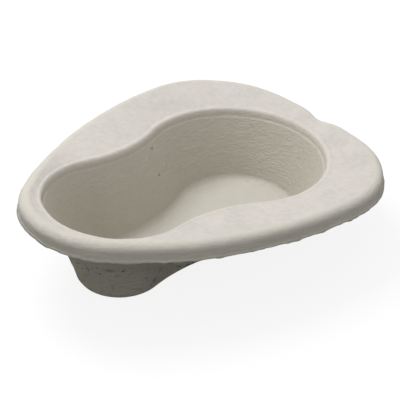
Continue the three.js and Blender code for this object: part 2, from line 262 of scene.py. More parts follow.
class Board:
    """A node tree that adds nodes by type, settings and socket values."""

    def __init__(self, tree):
        self.tree = tree

    def wide(self, value):
        if isinstance(value, Flow):
            return value.is_vector
        return not isinstance(value, (int, float))

    def node(self, kind, settings=None, values=None, output=0):
        made = self.tree.nodes.new(kind)
        for key, value in (settings or {}).items():
            setattr(made, key, value)
        for key, value in (values or {}).items():
            socket = made.inputs[key]
            if isinstance(value, Flow):
                self.tree.links.new(value.socket, socket)
            elif socket.type == "VECTOR" and isinstance(value, (int, float)):
                socket.default_value = (value, value, value)
            elif socket.type == "RGBA":
                socket.default_value = (*value[:3], 1)
            else:
                socket.default_value = value
        return Flow(self, made.outputs[output])

    def blend(self, amount, first, second):
        """Mix two colours."""
        settings = {"data_type": "RGBA", "clamp_factor": True}
        return self.node("ShaderNodeMix", settings, {0: amount, 6: first, 7: second}, 2)


# ---------------------------------------------------------------------------
# Shape of the moulding
# ---------------------------------------------------------------------------

SPOKE_X = -0.015
REAR_CROWDING = 0.25


class PanPlan:
    """The rim and the opening seen from above, as tangent arcs, with their heights."""

    def __init__(self, shape):
        self.shape = shape
        self._lay_rim()
        self._lay_keyhole()

    def _lay_rim(self):
        s = self.shape
        front = (-s.length / 2 + s.rim_front_radius, 0.0)
        side_y = s.width / 2 - s.rim_side_radius
        side_x = front[0] + math.sqrt((s.rim_side_radius - s.rim_front_radius) ** 2 - side_y**2)
        rear = (s.length / 2 - s.rim_rear_radius, 0.0)
        from_side = s.rim_side_radius - s.rim_corner_radius
        from_rear = s.rim_rear_radius - s.rim_corner_radius
        gap = math.hypot(rear[0] - side_x, side_y)
        ux, uy = (rear[0] - side_x) / gap, -side_y / gap
        foot = (from_side**2 - from_rear**2 + gap**2) / (2 * gap)
        lift = math.sqrt(from_side**2 - foot**2)
        corner = (side_x + foot * ux + lift * uy, side_y + foot * uy - lift * ux)
        side = (side_x, side_y)
        self.rim_arcs = [
            (self._touch(rear, s.rim_rear_radius, corner), rear, s.rim_rear_radius),
            (self._touch(side, s.rim_side_radius, corner), corner, s.rim_corner_radius),
            (self._touch(side, s.rim_side_radius, front), side, s.rim_side_radius),
            (math.inf, front, s.rim_front_radius),
        ]

    def _touch(self, big, radius, small):
        """Direction in which a small circle touches a larger one from inside."""
        dx, dy = small[0] - big[0], small[1] - big[1]
        scale = radius / math.hypot(dx, dy)
        return math.atan2(big[1] + dy * scale, big[0] + dx * scale - SPOKE_X)

    def _lay_keyhole(self):
        s = self.shape
        to_rear = s.opening_rear_radius + s.opening_neck_radius
        to_front = s.opening_front_radius + s.opening_neck_radius
        gap = s.opening_rear_x - s.opening_front_x
        foot = (to_front**2 - to_rear**2 + gap**2) / (2 * gap)
        self.neck = (s.opening_front_x + foot, math.sqrt(to_front**2 - foot**2))
        self.rear_sweep = math.atan2(self.neck[1], self.neck[0] - s.opening_rear_x)
        self.front_start = math.atan2(self.neck[1], foot)
        self.rear_run = s.opening_rear_radius * self.rear_sweep
        self.neck_run = s.opening_neck_radius * (self.rear_sweep - self.front_start)
        front_run = s.opening_front_radius * (math.pi - self.front_start)
        self.whole_run = self.rear_run + self.neck_run + front_run

    def edge(self, share):
        """Point and outward direction on half the keyhole, from the rear (0) to the front (1)."""
        s = self.shape
        run = share * self.whole_run
        if run < self.rear_run:
            turn = run / s.opening_rear_radius
            centre, radius = (s.opening_rear_x, 0.0), s.opening_rear_radius
        elif run < self.rear_run + self.neck_run:
            turn = self.rear_sweep - (run - self.rear_run) / s.opening_neck_radius
            centre, radius = self.neck, -s.opening_neck_radius
        else:
            turn = self.front_start + (run - self.rear_run - self.neck_run) / s.opening_front_radius
            centre, radius = (s.opening_front_x, 0.0), s.opening_front_radius
        nx, ny = math.cos(turn), math.sin(turn)
        return centre[0] + radius * nx, centre[1] + radius * ny, nx, ny

    def rim(self, angle):
        """Point, outward direction and height of the rim in a direction from the middle."""
        s = self.shape
        centre, radius = next((c, r) for end, c, r in self.rim_arcs if angle < end)
        dx = centre[0] - SPOKE_X
        along = math.cos(angle) * dx + math.sin(angle) * centre[1]
        reach = along + math.sqrt(max(along**2 - dx**2 - centre[1] ** 2 + radius**2, 0))
        x, y = SPOKE_X + reach * math.cos(angle), reach * math.sin(angle)
        nx, ny = (x - centre[0]) / radius, (y - centre[1]) / radius
        dip = math.exp(-((y / s.dip_half_width) ** 2)) if nx > 0 else 0.0
        x -= s.dip_plan * dip
        return x, y, nx, ny, self.rim_height(x) - s.dip_height * dip

    def rim_height(self, x):
        s = self.shape
        share = x / (s.length / 2)
        fall = s.rim_middle_slope * (s.length / 2)
        bow = (s.rim_front_height + s.rim_rear_height) / 2 - s.rim_middle_height
        twist = (s.rim_front_height - s.rim_rear_height) / 2 - fall
        return s.rim_middle_height - fall * share + bow * share**2 - twist * share**3

    def edge_height(self, x):
        s = self.shape
        front_x = s.opening_front_x - s.opening_front_radius
        rear_x = s.opening_rear_x + s.opening_rear_radius
        front_rise = (s.edge_front_height - s.edge_middle_height) / front_x
        rear_rise = (s.edge_rear_height - s.edge_middle_height) / rear_x
        bend = (rear_rise - front_rise) / (rear_x - front_x)
        return s.edge_middle_height + x * (front_rise + bend * (x - front_x))


# Points along one section of the upper face, and how sparsely the under face uses them
FLOOR_STEPS = 14
FILLET_STEPS = 7
WALL_STEPS = 34
STEP_STEPS = 6
EDGE_STEPS = 9
FLANGE_STEPS = 32
FOLD_STEPS = 11
SKIRT_STEPS = 6
UNDER_STRIDE = 2
COLUMNS = 528

# The raised line along the opening edge dies away over this much of the flange
BEAD_FADE = 2 * MM


class SectionLine:
    """One section of the upper face: points, directions of travel and surface marks."""

    def __init__(self):
        self.points = []
        self.travel = []
        self.marks = []

    def add(self, anchor, distance, height, slope, **marks):
        x, y, nx, ny = anchor[:4]
        flat = math.cos(slope)
        self.points.append((x + distance * nx, y + distance * ny, height))
        self.travel.append((flat * nx, flat * ny, math.sin(slope)))
        self.marks.append(marks)

    def arc(self, anchor, centre, radius, slopes, steps, **marks):
        side = 1 if slopes[1] > slopes[0] else -1
        for k in range(steps + 1):
            slope = slopes[0] + (slopes[1] - slopes[0]) * k / steps
            distance = centre[0] + side * radius * math.sin(slope)
            self.add(anchor, distance, centre[1] - side * radius * math.cos(slope), slope, **marks)


def ease(value):
    value = min(max(value, 0.0), 1.0)
    return value * value * (3 - 2 * value)


def section_line(plan, share):
    """Section from the middle of the floor to the trimmed edge of the skirt."""
    s = plan.shape
    edge = plan.edge(share)
    rim = plan.rim(math.atan2(edge[1], edge[0] - SPOKE_X))
    edge_z = plan.edge_height(edge[0])
    rim_z = rim[4]
    fold_z = rim_z - s.fold_radius
    fold_x, fold_y = rim[0] - s.fold_radius * rim[2], rim[1] - s.fold_radius * rim[3]
    width = math.hypot(fold_x - edge[0], fold_y - edge[1])
    rise = fold_z - edge_z
    flange_slope = math.atan2(rise, width) + math.asin(s.fold_radius / math.hypot(width, rise))

    line = SectionLine()
    floor_x, floor_y = edge[0] - s.floor_inset * edge[2], edge[1] - s.floor_inset * edge[3]
    spoke = (SPOKE_X, 0.0, floor_x - SPOKE_X, floor_y)
    for k in range(1, FLOOR_STEPS):
        line.add(spoke, k / FLOOR_STEPS, s.wall, 0.0, inside=1.0, floor=1.0)
        line.travel[-1] = (edge[2], edge[3], 0.0)

    fillet_z = s.wall + s.floor_fillet
    reach = math.hypot(s.floor_inset, edge_z - fillet_z)
    wall_slope = math.atan2(edge_z - fillet_z, s.floor_inset) + math.asin(s.floor_fillet / reach)
    foot = (-s.floor_inset, fillet_z)
    line.arc(edge, foot, s.floor_fillet, (0.0, wall_slope), FILLET_STEPS, inside=1.0, floor=0.5)

    lean = 1 / math.tan(wall_slope)
    foot_depth = s.step_depth + s.step_rise
    start = -s.floor_inset + s.floor_fillet * math.sin(wall_slope)
    start_z = fillet_z - s.floor_fillet * math.cos(wall_slope)
    end, end_z = -foot_depth * lean - s.step_width / 2, edge_z - foot_depth
    for k in range(1, WALL_STEPS + 1):
        part = k / WALL_STEPS
        distance = start + (end - start) * part - 4 * s.wall_hollow * part * (1 - part)
        slope = math.atan2(end_z - start_z, end - start - 4 * s.wall_hollow * (1 - 2 * part))
        line.add(edge, distance, start_z + (end_z - start_z) * part, slope, inside=1.0)
    for k in range(1, STEP_STEPS + 1):
        part = k / STEP_STEPS
        depth = foot_depth - s.step_rise * part
        distance = -depth * lean + s.step_width * (ease(part) - 0.5)
        line.add(edge, distance, edge_z - depth, wall_slope, inside=1.0, step=math.sin(math.pi * part))

    middle = (wall_slope + flange_slope) / 2
    to_centre = s.edge_radius / math.cos((wall_slope - flange_slope) / 2)
    centre = (to_centre * math.sin(middle), edge_z - to_centre * math.cos(middle))
    line.arc(edge, centre, s.edge_radius, (wall_slope, flange_slope), EDGE_STEPS, inside=0.5, bead=1.0)

    begin = Vector(line.points[-1])
    flange_end = -s.fold_radius * (1 + math.sin(flange_slope))
    finish = Vector(
        (
            rim[0] + flange_end * rim[2],
            rim[1] + flange_end * rim[3],
            fold_z + s.fold_radius * math.cos(flange_slope),
        )
    )
    run = (finish - begin).length
    direction = tuple((finish - begin).normalized())
    for k in range(1, FLANGE_STEPS):
        part = k / FLANGE_STEPS
        line.points.append(tuple(begin.lerp(finish, part)))
        line.travel.append(direction)
        line.marks.append({"bead": math.exp(-((part * run / BEAD_FADE) ** 2))})

    skirt_slope = -math.pi / 2 + math.atan2(s.skirt_flare, s.skirt_height - s.fold_radius)
    fold, bend = (-s.fold_radius, fold_z), (flange_slope, skirt_slope)
    line.arc(rim, fold, s.fold_radius, bend, FOLD_STEPS, skirt=0.6)
    fold_end = s.fold_radius * (math.cos(skirt_slope + math.pi / 2) - 1)
    for k in range(1, SKIRT_STEPS + 1):
        part = k / SKIRT_STEPS
        distance = fold_end + (s.skirt_flare - fold_end) * part + (s.trim_lip if k == SKIRT_STEPS else 0)
        height = fold_z - (s.skirt_height - s.fold_radius) * part
        line.add(rim, distance, height, skirt_slope, skirt=1.0, trim=ease(part))
    return line


MARKS = ("inside", "floor", "step", "bead", "skirt", "trim")

# Pits lie at the middles of cells, this many pit radii wide. A cell has one if it draws above the
# limit, and the pit sinks between the two distances from its middle, as shares of the cell.
PIT_CELL_RADII = 9.0
PIT_SEED_STEP = 0.013
BOWL_PIT_DRAW = 0.80
BOWL_PIT_EDGE = (0.03, 0.13)
# Between these two distances the wall is painted dark, as shade in the pit
BOWL_PIT_SHADE = (0.05, 0.15)
BACK_PIT_DRAW = 0.45
BACK_PIT_EDGE = (0.02, 0.20)
BACK_PIT_DEPTH = 0.8

# Ripples inside the bowl lie level, like the tide marks of drying pulp
RIPPLE_STRETCH = (0.5, 0.5, 1.5)
RIPPLE_FLOOR_LOSS = 0.6
RIPPLE_SKIRT = 0.9
RIPPLE_EVERYWHERE = 0.45

# The trimmed edge waves, with lumps where it hangs lowest
TRIM_SWING = 1.6
TRIM_LUMP = 0.35
TRIM_LUMP_RANGE = (0.52, 0.74)

# Each pattern is drawn from its own place in the noise
SWELL_DRAW, RIPPLE_DRAW, COARSE_DRAW, TRIM_DRAW = 0.0, 3.1, 7.7, 11.0


def shell_grids(shape):
    """Upper and under points, as arrays of column, row and coordinate, with the upper marks."""
    plan = PanPlan(shape)
    upper, travel, marks = [], [], []
    for i in range(COLUMNS):
        turn = 2 * math.pi * i / COLUMNS
        share = (turn - REAR_CROWDING * math.sin(turn)) / math.pi
        line = section_line(plan, 2 - share if share > 1 else share)
        flip = np.array([1.0, -1.0 if share > 1 else 1.0, 1.0])
        upper.append(np.array(line.points) * flip)
        travel.append(np.array(line.travel) * flip)
        marks.append([[mark.get(name, 0.0) for name in MARKS] for mark in line.marks])
    upper, travel = np.array(upper), np.array(travel)
    around = np.roll(upper, -1, axis=0) - np.roll(upper, 1, axis=0)
    normal = np.cross(travel, around)
    normal /= np.linalg.norm(normal, axis=2, keepdims=True)
    return upper, upper - shape.wall * normal, np.array(marks)


def shell_mesh(shape):
    """One closed mesh: upper face, trimmed edge and under face, with marks stored on its points."""
    upper, under, marks = shell_grids(shape)
    rows = upper.shape[1]
    kept = sorted(set(range(0, rows, UNDER_STRIDE)) | {rows - 1}, reverse=True)
    rings = [upper[:, j] for j in range(rows)] + [under[:, j] for j in kept]
    ring_marks = [marks[:, j] for j in range(rows)] + [marks[:, j] for j in kept]
    below = [0.0] * rows + [1.0] * len(kept)
    shift = (CAD_LOW[0] + CAD_HIGH[0]) / 2 - (upper[:, :, 0].min() + upper[:, :, 0].max()) / 2
    points = np.concatenate(rings)
    points = np.concatenate([points, [[SPOKE_X, 0, shape.wall], [SPOKE_X, 0, 0]]])
    points[:, 0] += shift
    top_middle, low_middle = len(points) - 2, len(points) - 1
    quads, fans = [], []
    for j in range(len(rings) - 1):
        for i in range(COLUMNS):
            following = (i + 1) % COLUMNS
            a, b = j * COLUMNS + i, j * COLUMNS + following
            quads.append((a, a + COLUMNS, b + COLUMNS, b))
    last = (len(rings) - 1) * COLUMNS
    for i in range(COLUMNS):
        following = (i + 1) % COLUMNS
        fans.append((top_middle, i, following))
        fans.append((low_middle, last + following, last + i))
    mesh = bpy.data.meshes.new("pulp_shell")
    mesh.from_pydata(points.tolist(), [], quads + fans)
    stored = np.concatenate(ring_marks)
    middle_mark = [1.0 if name in ("inside", "floor") else 0.0 for name in MARKS]
    stored = np.concatenate([stored, [middle_mark, middle_mark]])
    for column, name in enumerate(MARKS):
        mark = mesh.attributes.new(name, "FLOAT", "POINT")
        mark.data.foreach_set("value", stored[:, column].astype(np.float32))
    under_mark = np.concatenate([np.repeat(below, COLUMNS), [0.0, 1.0]])
    mark = mesh.attributes.new("under", "FLOAT", "POINT")
    mark.data.foreach_set("value", under_mark.astype(np.float32))
    mesh.validate()
    return mesh


def read_points(mesh, name):
    """One number per point of a mesh, from a stored mark."""
    values = np.empty(len(mesh.vertices), dtype=np.float32)
    mesh.attributes[name].data.foreach_get("value", values)
    return values


def trim_path(shell):
    """Closed line round the middle of the finished, uneven trimmed edge."""
    places = np.empty(len(shell.data.vertices) * 3, dtype=np.float32)
    shell.data.vertices.foreach_get("co", places)
    places = places.reshape(-1, 3)
    edge = read_points(shell.data, "trim") > 0.999
    under = read_points(shell.data, "under") > 0.5
    points = (places[edge & ~under] + places[edge & under]) / 2
    mesh = bpy.data.meshes.new("trim_burrs")
    count = len(points)
    mesh.from_pydata(points.tolist(), [(i, (i + 1) % count) for i in range(count)], [])
    return mesh


# ---------------------------------------------------------------------------
# Geometry Nodes
# ---------------------------------------------------------------------------


def new_tree(name, inputs):
    """Geometry tree with a geometry input, the given named inputs and a geometry output."""
    tree = bpy.data.node_groups.new(name, "GeometryNodeTree")
    tree.interface.new_socket(name="Geometry", in_out="INPUT", socket_type="NodeSocketGeometry")
    for label, kind in inputs:
        tree.interface.new_socket(name=label, in_out="INPUT", socket_type=kind)
    tree.interface.new_socket(name="Geometry", in_out="OUTPUT", socket_type="NodeSocketGeometry")
    board = Board(tree)
    entry = tree.nodes.new("NodeGroupInput")
    flows = {socket.name: Flow(board, socket) for socket in entry.outputs if socket.name}
    return board, flows


def close_tree(board, geometry, material):
    solid = board.node("GeometryNodeRealizeInstances", {}, {"Geometry": geometry})
    smooth = board.node("GeometryNodeSetShadeSmooth", {}, {"Geometry": solid, "Shade Smooth": True})
    painted = board.node("GeometryNodeSetMaterial", {}, {"Geometry": smooth, "Material": material})
    leave = board.tree.nodes.new("NodeGroupOutput")
    board.tree.links.new(painted.socket, leave.inputs[0])


def grow(name, mesh, board, values):
    """Object with the tree's result as a plain mesh."""
    holder = bpy.data.objects.new(name, mesh)
    bpy.context.scene.collection.objects.link(holder)
    modifier = holder.modifiers.new("shape", "NODES")
    modifier.node_group = board.tree
    for item in board.tree.interface.items_tree:
        if item.in_out == "INPUT" and item.name in values:
            modifier[item.identifier] = values[item.name]
    graph = bpy.context.evaluated_depsgraph_get()
    graph.update()
    result = bpy.data.meshes.new_from_object(holder.evaluated_get(graph), depsgraph=graph)
    result.name = name
    for index in reversed(range(len(result.materials))):
        if result.materials[index] is None:
            result.materials.pop(index=index)
    holder.modifiers.clear()
    holder.data = result
    bpy.data.meshes.remove(mesh)
    holder.data.name = name
    return holder


def named(board, label):
    return board.node("GeometryNodeInputNamedAttribute", {"data_type": "FLOAT"}, {"Name": label})


def noise(board, place, size, seed, detail=2.0, rough=0.5, distortion=0.0):
    """Noise from -0.5 to 0.5 with a feature size in metres."""
    values = {
        "Vector": place, "W": seed, "Scale": 1 / size, "Detail": detail,
        "Roughness": rough, "Distortion": distortion,
    }
    return board.node("ShaderNodeTexNoise", {"noise_dimensions": "4D"}, values) - 0.5


def cell_pattern(board, dimensions, values):
    """Distance from the middle of each cell of a loose pattern, and the colour the cell draws."""
    look = {"feature": "F1", "voronoi_dimensions": dimensions}
    return tuple(board.node("ShaderNodeTexVoronoi", look, values, output) for output in (0, 1))


def pit_cells(board, place, seed, radius):
    """The cells that air bubbles in the wall of the bowl are drawn from."""
    values = {"Vector": place + seed * PIT_SEED_STEP, "Scale": 1 / (radius * PIT_CELL_RADII)}
    return cell_pattern(board, "3D", values)


def relief_tree():
    """Moves the points of the shell along their normals to make the pulp uneven."""
    board, given = new_tree(
        "Pulp relief",
        [
            ("Swell Height", "NodeSocketFloat"), ("Swell Size", "NodeSocketFloat"),
            ("Ripple Height", "NodeSocketFloat"), ("Ripple Size", "NodeSocketFloat"),
            ("Coarse Height", "NodeSocketFloat"), ("Coarse Size", "NodeSocketFloat"),
            ("Pit Depth", "NodeSocketFloat"), ("Pit Radius", "NodeSocketFloat"),
            ("Trim Wave", "NodeSocketFloat"), ("Trim Size", "NodeSocketFloat"),
            ("Edge Bead", "NodeSocketFloat"), ("Seed", "NodeSocketFloat"),
            ("Material", "NodeSocketMaterial"),
        ],
    )
    place = board.node("GeometryNodeInputPosition")
    facing = board.node("GeometryNodeInputNormal")
    seed = given["Seed"]
    inside, floor, bead = named(board, "inside"), named(board, "floor"), named(board, "bead")
    trim, skirt, under = named(board, "trim"), named(board, "skirt"), named(board, "under")
    above = 1 - under

    def patch(size, offset, **more):
        values = {"Vector": place, "W": seed + offset, "Scale": 1 / given[size]}
        values.update(more)
        return board.node("ShaderNodeTexNoise", {"noise_dimensions": "4D"}, values) - 0.5

    swell = patch("Swell Size", SWELL_DRAW, Detail=1.0) * given["Swell Height"] * 2.0

    levelled = {"Vector": place * RIPPLE_STRETCH, "Detail": 3.0, "Roughness": 0.6, "Distortion": 0.6}
    rippled = inside * (1 - floor * RIPPLE_FLOOR_LOSS) + skirt * RIPPLE_SKIRT + RIPPLE_EVERYWHERE
    ripple = patch("Ripple Size", RIPPLE_DRAW, **levelled) * given["Ripple Height"] * rippled * above

    coarse = patch("Coarse Size", COARSE_DRAW, Detail=4.0, Roughness=0.62)
    coarse = coarse * given["Coarse Height"] * under

    bubble_distance, bubble_colour = pit_cells(board, place, seed, given["Pit Radius"])
    bubble_draw = board.node("ShaderNodeSeparateXYZ", {}, {0: bubble_colour})
    bowl_pit = (bubble_draw > BOWL_PIT_DRAW) * (1 - bubble_distance.between(*BOWL_PIT_EDGE))
    bowl_pit = bowl_pit * inside * (1 - floor) * above

    cell_size = given["Pit Radius"] * PIT_CELL_RADII
    back_cells = {"Vector": place, "W": seed * PIT_SEED_STEP, "Scale": 1 / cell_size}
    back_distance, back_colour = cell_pattern(board, "4D", back_cells)
    back_draw = board.node("ShaderNodeSeparateXYZ", {}, {0: back_colour})
    back_pit = (back_draw > BACK_PIT_DRAW) * (1 - back_distance.between(*BACK_PIT_EDGE)) * under
    pits = (bowl_pit + back_pit * BACK_PIT_DEPTH) * given["Pit Depth"]

    lift = swell + ripple + coarse - pits + bead * given["Edge Bead"] * above
    hold = 1 - under * floor.between(0.0, 0.4)
    shifted = facing * (lift * hold)

    waves = {
        "Vector": place, "W": seed + TRIM_DRAW, "Scale": 1 / given["Trim Size"],
        "Detail": 2.0, "Roughness": 0.55,
    }
    ragged = board.node("ShaderNodeTexNoise", {"noise_dimensions": "4D"}, waves)
    lump = ragged.between(*TRIM_LUMP_RANGE) * given["Trim Wave"] * TRIM_LUMP
    fall = ((ragged - 0.5) * given["Trim Wave"] * TRIM_SWING + lump) * trim
    drop = board.node("ShaderNodeCombineXYZ", {}, {"Z": fall * -1.0})

    whole = {"Geometry": given["Geometry"], "Offset": shifted + drop}
    moved = board.node("GeometryNodeSetPosition", {}, whole)
    close_tree(board, moved, given["Material"])
    return board


# Turn, stretch and drift of one crumb, from the lowest to the highest
CRUMB_TURN = ((0, 0, 0), (6.28, 6.28, 6.28))
CRUMB_STRETCH = ((0.5, 0.45, 0.35), (1.5, 0.9, 0.7))
CRUMB_DRIFT = ((-0.7 * MM, -0.7 * MM, 0.0), (0.7 * MM, 0.7 * MM, 1.0 * MM))
CRUMB_CHANCE = 0.55


def burr_tree():
    """Torn crumbs of pulp scattered along the trimmed edge."""
    board, given = new_tree(
        "Trim burrs",
        [
            ("Spacing", "NodeSocketFloat"), ("Crumb Size", "NodeSocketFloat"),
            ("Seed", "NodeSocketInt"), ("Material", "NodeSocketMaterial"),
        ],
    )
    curve = board.node("GeometryNodeMeshToCurve", {}, {"Mesh": given["Geometry"]})
    even = board.node(
        "GeometryNodeCurveToPoints", {"mode": "LENGTH"}, {"Curve": curve, "Length": given["Spacing"]}
    )
    crumb = board.node("GeometryNodeMeshIcoSphere", {}, {"Radius": given["Crumb Size"], "Subdivisions": 1})
    chance = {"Probability": CRUMB_CHANCE, "Seed": given["Seed"]}
    keep = board.node("FunctionNodeRandomValue", {"data_type": "BOOLEAN"}, chance, 3)
    turn = board.node(
        "FunctionNodeRandomValue", {"data_type": "FLOAT_VECTOR"},
        {0: CRUMB_TURN[0], 1: CRUMB_TURN[1], "Seed": given["Seed"] + 1},
    )
    size = board.node(
        "FunctionNodeRandomValue", {"data_type": "FLOAT_VECTOR"},
        {0: CRUMB_STRETCH[0], 1: CRUMB_STRETCH[1], "Seed": given["Seed"] + 2},
    )
    jitter = board.node(
        "FunctionNodeRandomValue", {"data_type": "FLOAT_VECTOR"},
        {0: CRUMB_DRIFT[0], 1: CRUMB_DRIFT[1], "Seed": given["Seed"] + 3},
    )
    strewn = board.node("GeometryNodeSetPosition", {}, {"Geometry": even, "Offset": jitter})
    laid = board.node(
        "GeometryNodeInstanceOnPoints", {},
        {"Points": strewn, "Selection": keep, "Instance": crumb, "Rotation": turn, "Scale": size},
    )
    close_tree(board, laid, given["Material"])
    return board


# ---------------------------------------------------------------------------
# Material
# ---------------------------------------------------------------------------


# Sizes of the patterns in the pulp
CLOUD_SIZE = 38 * MM
BLUSH_SIZE = 26 * MM
MOTTLE_SIZE = 5.5 * MM
POCK_SIZE = 5 * MM
BREAK_SIZE = 4 * MM
WRINKLE_SIZE = 3 * MM
GRAIN_SIZE = 1.1 * MM
FIBRE_SIZE = 0.55 * MM
FLECK_SIZE = 3.4 * MM

# Wrinkles lie level, and fibres lie in three directions
WRINKLE_STRETCH = (0.6, 0.6, 1.3)
FIBRE_STRETCHES = ((1.0, 0.22, 0.5), (0.25, 1.0, 0.45), (0.5, 0.4, 1.0))

# A cell holds a fleck if it draws above the limit, and the fleck fades between the two distances
FLECK_DRAW = 0.93
FLECK_EDGE = (0.05, 0.14)
GRAIN_COLOUR = (0.30, 0.28, 0.24)

# How strongly each colour lies over the dry pulp
WARM_TINT = 0.45
WALL_SHADE_TINT = 0.9
FLOOR_TINT = 0.8
SKIRT_TINT = 0.65
FIBRE_TINT = 0.16
GRAIN_TINT, COARSE_GRAIN_TINT = 0.14, 0.2
STEP_HIGHLIGHT_TINT = 0.28
BEAD_HIGHLIGHT_TINT = 0.36
FLECK_TINT, INSIDE_FLECK_TINT = 0.22, 0.12
PIT_SHADE_TINT = 0.6
POCK_SHADE_TINT = 0.75
PULP_SHEEN = 0.18


def pulp_material(finish, relief):
    """Matted recycled fibre: mottled, flecked, dull, smoother where it is pressed, with painted shade on
    the bowl wall and in pits and pocks, and painted highlights along the edges.
    """
    material = bpy.data.materials.new(PULP_SURFACE)
    material.use_nodes = True
    material.node_tree.nodes.clear()
    board = Board(material.node_tree)
    place = board.node("ShaderNodeTexCoord", {}, {}, 3)
    under, skirt, trim, inside, floor, step, bead = (
        board.node("ShaderNodeAttribute", {"attribute_name": mark}, {}, 2)
        for mark in ("under", "skirt", "trim", "inside", "floor", "step", "bead")
    )
    wall = inside.between(0.3, 1.0) * (1 - floor.between(0.2, 0.9))

    cloud = noise(board, place, CLOUD_SIZE, 1.0, detail=3.0, rough=0.55)
    mottle = noise(board, place, MOTTLE_SIZE, 4.0, detail=4.0, rough=0.6)
    grain = noise(board, place, GRAIN_SIZE, 9.0, detail=3.0, rough=0.6)
    blush = noise(board, place, BLUSH_SIZE, 15.0, detail=2.0)
    wrinkle = noise(board, place * WRINKLE_STRETCH, WRINKLE_SIZE, 40.0, detail=3.0, distortion=0.5)
    # Pocks on the outer side sink by the bump and are painted dark as shade in their hollows
    pocks = noise(board, place, POCK_SIZE, 50.0, detail=5.0, rough=0.7) + cloud * 0.35
    pocks = pocks.between(0.07, 0.21) * under
    broken = noise(board, place, BREAK_SIZE, 60.0, detail=4.0, rough=0.7).between(-0.14, 0.16)

    # The same cells as the relief digs, a little wider because the digging moves the surface, painted dark
    # as shade inside each pit.
    pit_distance, pit_colour = pit_cells(board, place, relief.seed, relief.pit_radius)
    pit_draw = board.node("ShaderNodeSeparateColor", {}, {0: pit_colour})
    pits = (pit_draw > BOWL_PIT_DRAW) * (1 - pit_distance.between(*BOWL_PIT_SHADE)) * wall * (1 - under)

    fibres = None
    for number, stretch in enumerate(FIBRE_STRETCHES):
        drawn = noise(board, place * stretch, FIBRE_SIZE, 20.0 + number, detail=1.0, distortion=1.2)
        thread = drawn.between(0.10, 0.24)
        fibres = thread if fibres is None else fibres.largest(thread)

    fleck_cells = {"Vector": place, "Scale": 1 / FLECK_SIZE}
    fleck_distance, fleck_colour = cell_pattern(board, "3D", fleck_cells)
    fleck_draw = board.node("ShaderNodeSeparateColor", {}, {0: fleck_colour})
    flecks = (fleck_draw > FLECK_DRAW) * (1 - fleck_distance.between(*FLECK_EDGE))

    coarse = (under + trim * 0.1).smallest(1.0)
    pale = (cloud * 1.6 + mottle * 2.2 + 0.5).between(0.0, 1.0)
    tone = board.blend(pale, finish.colour, finish.pale_colour)
    tone = board.blend(blush.between(-0.05, 0.15) * WARM_TINT, tone, finish.warm_colour)
    # Painted shade: the wall of the bowl turns darker and yellower than the dry pulp
    tone = board.blend(wall * WALL_SHADE_TINT, tone, finish.shaded_wall_colour)
    floor_share = floor.between(0.2, 0.9) * (1 - under)
    tone = board.blend(floor_share * FLOOR_TINT, tone, finish.floor_colour)
    tone = board.blend(skirt * SKIRT_TINT, tone, finish.skirt_colour)
    tone = board.blend(coarse, tone, finish.raw_colour)
    tone = board.blend(fibres * FIBRE_TINT, tone, finish.fibre_and_highlight_colour)
    grain_share = (grain * -1.0).between(0.02, 0.30) * (GRAIN_TINT + coarse * COARSE_GRAIN_TINT)
    tone = board.blend(grain_share, tone, GRAIN_COLOUR)
    # Painted highlight: a broken pale line along the step inside the bowl
    tone = board.blend(step * broken * STEP_HIGHLIGHT_TINT, tone, finish.fibre_and_highlight_colour)
    # Painted highlight: a pale line along the bead of the opening edge
    tone = board.blend(bead.between(0.35, 1.0) * BEAD_HIGHLIGHT_TINT, tone, finish.fibre_and_highlight_colour)
    # Pale band along the trimmed edge: paler torn fibre, partly a painted highlight on the lit raw edge
    tone = board.blend(trim.between(0.90, 1.0) * (broken * 0.5 + 0.5), tone, finish.fibre_and_highlight_colour)
    tone = board.blend(flecks * (FLECK_TINT + inside * INSIDE_FLECK_TINT), tone, finish.fleck_colour)
    # Painted shade: pits and pocks are darkened almost to black
    tone = board.blend(pocks.largest(pits * PIT_SHADE_TINT) * POCK_SHADE_TINT, tone, finish.pit_shade_colour)

    roughness = (grain * 0.12 + finish.roughness).smallest(1.0)
    height = fibres * finish.fibre_bump + grain * finish.grain_bump * (0.45 + coarse * 1.3 + inside * 0.35)
    height = height + wrinkle * finish.wrinkle_bump * (wall * 1.15 + skirt * 0.45 + coarse * 0.7 + 0.30)
    height = height - pocks.largest(pits) * finish.pock_bump
    bump = board.node("ShaderNodeBump", {}, {"Strength": 1.0, "Distance": 1.0, "Height": height})
    shader = board.node(
        "ShaderNodeBsdfPrincipled", {},
        {"Base Color": tone, "Roughness": roughness, "Normal": bump, "Specular IOR Level": PULP_SHEEN},
    )
    leave = board.tree.nodes.new("ShaderNodeOutputMaterial")
    board.tree.links.new(shader.socket, leave.inputs["Surface"])
    return material


# ---------------------------------------------------------------------------
# Operators
# ---------------------------------------------------------------------------


def shared_pulp(scene):
    """The pulp material, made once for all pieces."""
    made = bpy.data.materials.get(PULP_SURFACE)
    return made or pulp_material(scene.bedpan_finish, scene.bedpan_relief)


def finish_piece(piece, nodes=()):
    if nodes:
        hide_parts(*nodes)
    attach(piece, "root")


class BEDPAN_OT_shell(bpy.types.Operator):
    """Make the moulded shell, from the floor of the bowl to the trimmed skirt"""

    bl_idname = "bedpan.shell"
    bl_label = "Pulp Shell"

    def execute(self, context):
        scene = context.scene
        relief = scene.bedpan_relief
        material = shared_pulp(scene)
        values = {
            "Swell Height": relief.swell_height, "Swell Size": relief.swell_size,
            "Ripple Height": relief.ripple_height, "Ripple Size": relief.ripple_size,
            "Coarse Height": relief.coarse_height, "Coarse Size": relief.coarse_size,
            "Pit Depth": relief.pit_depth, "Pit Radius": relief.pit_radius,
            "Trim Wave": relief.trim_wave, "Trim Size": relief.trim_size,
            "Edge Bead": scene.bedpan_shape.edge_bead, "Seed": float(relief.seed),
            "Material": material,
        }
        shell = grow("pulp_shell", shell_mesh(scene.bedpan_shape), relief_tree(), values)
        if len(shell.data.vertices) < COLUMNS:
            raise RuntimeError("The shell came out empty")
        finish_piece(shell, CAD_NODES)
        return {"FINISHED"}


